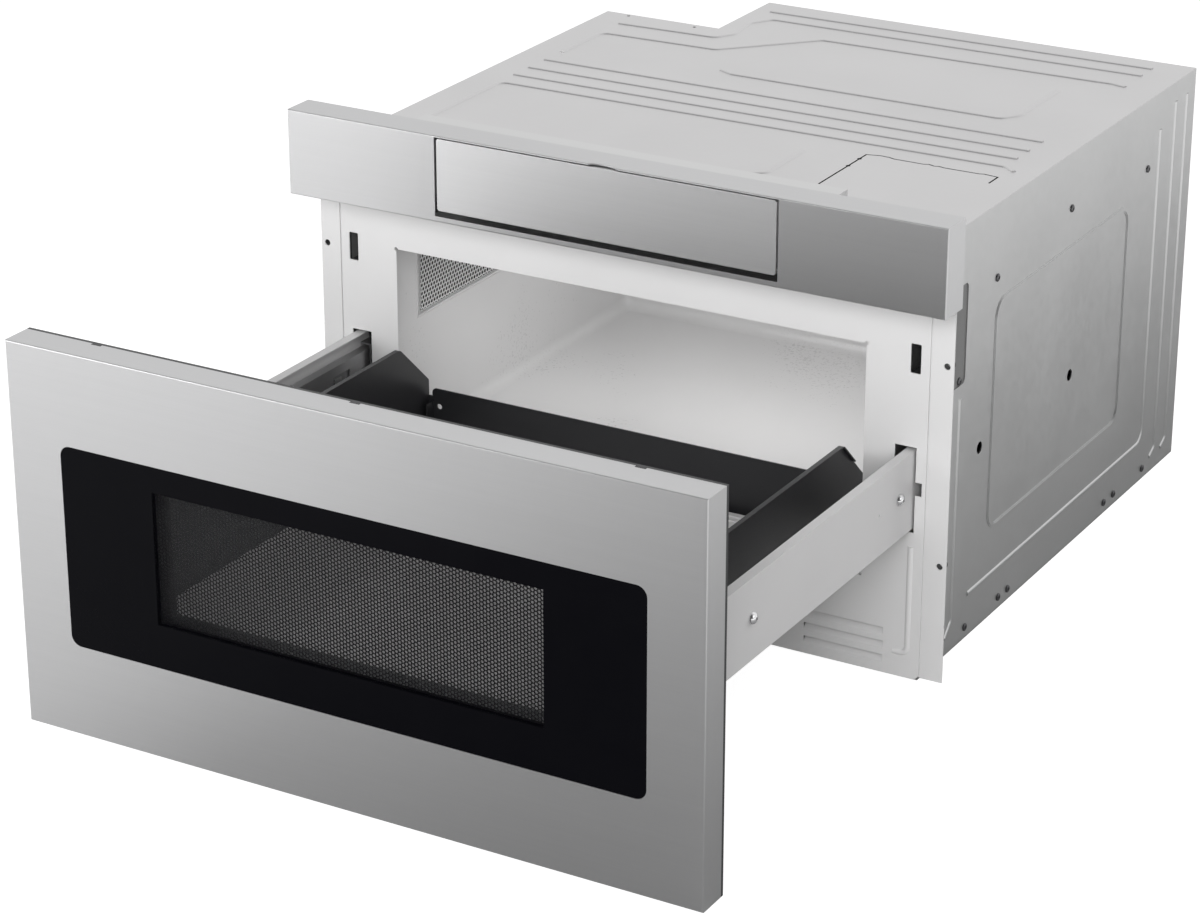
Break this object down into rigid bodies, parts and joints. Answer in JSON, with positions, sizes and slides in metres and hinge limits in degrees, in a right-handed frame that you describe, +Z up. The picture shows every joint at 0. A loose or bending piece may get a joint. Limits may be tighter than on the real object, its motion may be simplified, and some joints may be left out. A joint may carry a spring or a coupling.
{
  "type": "built-in microwave drawer",
  "caption": "Built-in microwave drawer drawn open: steel door with dark window, black drawer on telescopic slides, white front plate, tilting control flap, galvanised box.",
  "frame": {"origin": "middle of the width, front plane of the mounting flanges, underside of the base plate", "axes": "+X to the right seen from the front, +Y to the back, +Z up; the drawer opens towards -Y"},
  "size_m": [0.6064, 0.97, 0.4032],
  "materials": {
    "stainless_door": "stainless steel, fine horizontal brushing",
    "stainless_panel": "stainless steel, fine horizontal brushing",
    "stainless_flap": "stainless steel, fine horizontal brushing",
    "stainless_tub": "bright sheet steel",
    "flap_black": "black moulded plastic",
    "touch_glass": "black touch glass",
    "pin_steel": "turned steel",
    "door_black": "satin black paint",
    "window_glass": "dark printed glass, clearer in the middle",
    "screen_black": "perforated sheet, dark grey",
    "inner_glass": "clear glass",
    "latch_black": "black moulded plastic",
    "drawer_black": "satin black enamel",
    "tray_white": "off-white enamel",
    "bracket_white": "off-white paint",
    "slide_zinc": "bright zinc-plated steel",
    "cage_steel": "plated ball cage",
    "galvanised_top": "galvanised sheet",
    "galvanised_side": "galvanised sheet",
    "galvanised_base": "galvanised sheet",
    "plate_white": "off-white paint, satin",
    "flange_white": "off-white paint, satin",
    "cavity_enamel": "light grey enamel",
    "screw_bright": "bright plated",
    "screw_dark": "dark plated",
    "nylon_white": "white nylon",
    "gearbox_grey": "grey moulded plastic",
    "motor_steel": "plated steel can",
    "mica": "mica sheet",
    "magnetron_metal": "plated frame and aluminium fins",
    "stirrer_metal": "plain aluminium",
    "fan_black": "black moulded plastic",
    "board_green": "circuit board with its parts and heat sink",
    "transformer_iron": "ferrite core and winding",
    "gland_black": "black rubber",
    "lamp_clear": "clear bulb",
    "switch_grey": "moulded plastic",
    "plunger_white": "white moulded plastic"
  },
  "bodies": {
    "chassis": {"control_panel_frame": "stainless_panel", "control_tub": "stainless_tub", "front_plate": "plate_white", "left_mounting_flange": "flange_white", "right_mounting_flange": "flange_white", "left_side_panel": "galvanised_side", "right_side_panel": "galvanised_side", "top_panel": "galvanised_top", "rear_panel": "galvanised_side", "rear_step_panel": "galvanised_side", "base_plate": "galvanised_base", "panel_screws": "screw_dark", "cavity": "cavity_enamel", "lamp_screen": "cavity_enamel", "lamp_duct": "galvanised_base", "cavity_lamp": "lamp_clear", "waveguide": "galvanised_base", "magnetron": "magnetron_metal", "stirrer_motor": "motor_steel", "stirrer_cover": "mica", "fan_housing": "fan_black", "fan_motor": "motor_steel", "inverter_board": "board_green", "inverter_transformer": "transformer_iron", "mains_gland": "gland_black", "interlock_switches": "switch_grey", "slide_supports": "galvanised_base", "left_slide_outer": "slide_zinc", "right_slide_outer": "slide_zinc", "drive_gearbox": "gearbox_grey", "drive_motor": "motor_steel"},
    "drawer": {"door_skin": "stainless_door", "door_frame": "door_black", "door_glass": "window_glass", "door_screen": "screen_black", "door_inner_glass": "inner_glass", "door_cover": "door_black", "latch_heads": "latch_black", "left_drawer_side": "drawer_black", "right_drawer_side": "drawer_black", "drawer_back": "drawer_black", "drawer_tray": "tray_white", "left_drawer_bracket": "bracket_white", "right_drawer_bracket": "bracket_white", "left_slide_inner": "slide_zinc", "right_slide_inner": "slide_zinc", "bracket_screws": "screw_bright", "drive_rack": "nylon_white"},
    "slide_middles": {"left_slide_middle": "slide_zinc", "right_slide_middle": "slide_zinc"},
    "outer_cages": {"outer_ball_cages": "cage_steel"},
    "inner_cages": {"inner_ball_cages": "cage_steel"},
    "pinion": {"drive_pinion": "nylon_white"},
    "control_flap": {"flap_skin": "stainless_flap", "flap_housing": "flap_black", "flap_glass": "touch_glass", "flap_pins": "pin_steel"},
    "plungers": {"interlock_plungers": "plunger_white"},
    "fan": {"fan_rotor": "fan_black"},
    "stirrer": {"stirrer_blade": "stirrer_metal"}
  },
  "joints": [
    {"name": "drawer_slide", "type": "slide", "parent": "chassis", "child": "drawer", "axis": [0, -1, 0], "range_m": [-0.381, 0]},
    {"name": "slide_middle_travel", "type": "slide", "parent": "chassis", "child": "slide_middles", "axis": [0, -1, 0], "range_m": [-0.1905, 0]},
    {"name": "outer_cage_travel", "type": "slide", "parent": "chassis", "child": "outer_cages", "axis": [0, -1, 0], "range_m": [-0.09525, 0]},
    {"name": "inner_cage_travel", "type": "slide", "parent": "chassis", "child": "inner_cages", "axis": [0, -1, 0], "range_m": [-0.2858, 0]},
    {"name": "pinion_spin", "type": "hinge", "parent": "chassis", "child": "pinion", "pos_m": [0.2568, 0.016, 0.12375], "axis": [1, 0, 0], "range_deg": [-1941, 1]},
    {"name": "control_flap_tilt", "type": "hinge", "parent": "chassis", "child": "control_flap", "pos_m": [0, -0.031, 0.3425], "axis": [1, 0, 0], "range_deg": [0, 45]},
    {"name": "interlock_press", "type": "slide", "parent": "chassis", "child": "plungers", "axis": [0, 1, 0], "range_m": [0, 0.0025], "stiffness_N_per_m": 300, "springref_m": -0.002},
    {"name": "fan_spin", "type": "hinge", "parent": "chassis", "child": "fan", "pos_m": [0.078, 0.486, 0.246], "axis": [1, 0, 0], "continuous": true},
    {"name": "stirrer_spin", "type": "hinge", "parent": "chassis", "child": "stirrer", "pos_m": [0, 0.23, 0.305], "axis": [0, 0, 1], "continuous": true}
  ],
  "couplings": [
    {"joint": "slide_middle_travel", "follows": "drawer_slide", "ratio": 0.5},
    {"joint": "outer_cage_travel", "follows": "drawer_slide", "ratio": 0.25},
    {"joint": "inner_cage_travel", "follows": "drawer_slide", "ratio": 0.75},
    {"joint": "pinion_spin", "follows": "drawer_slide", "rad_per_m": 88.889}
  ]
}
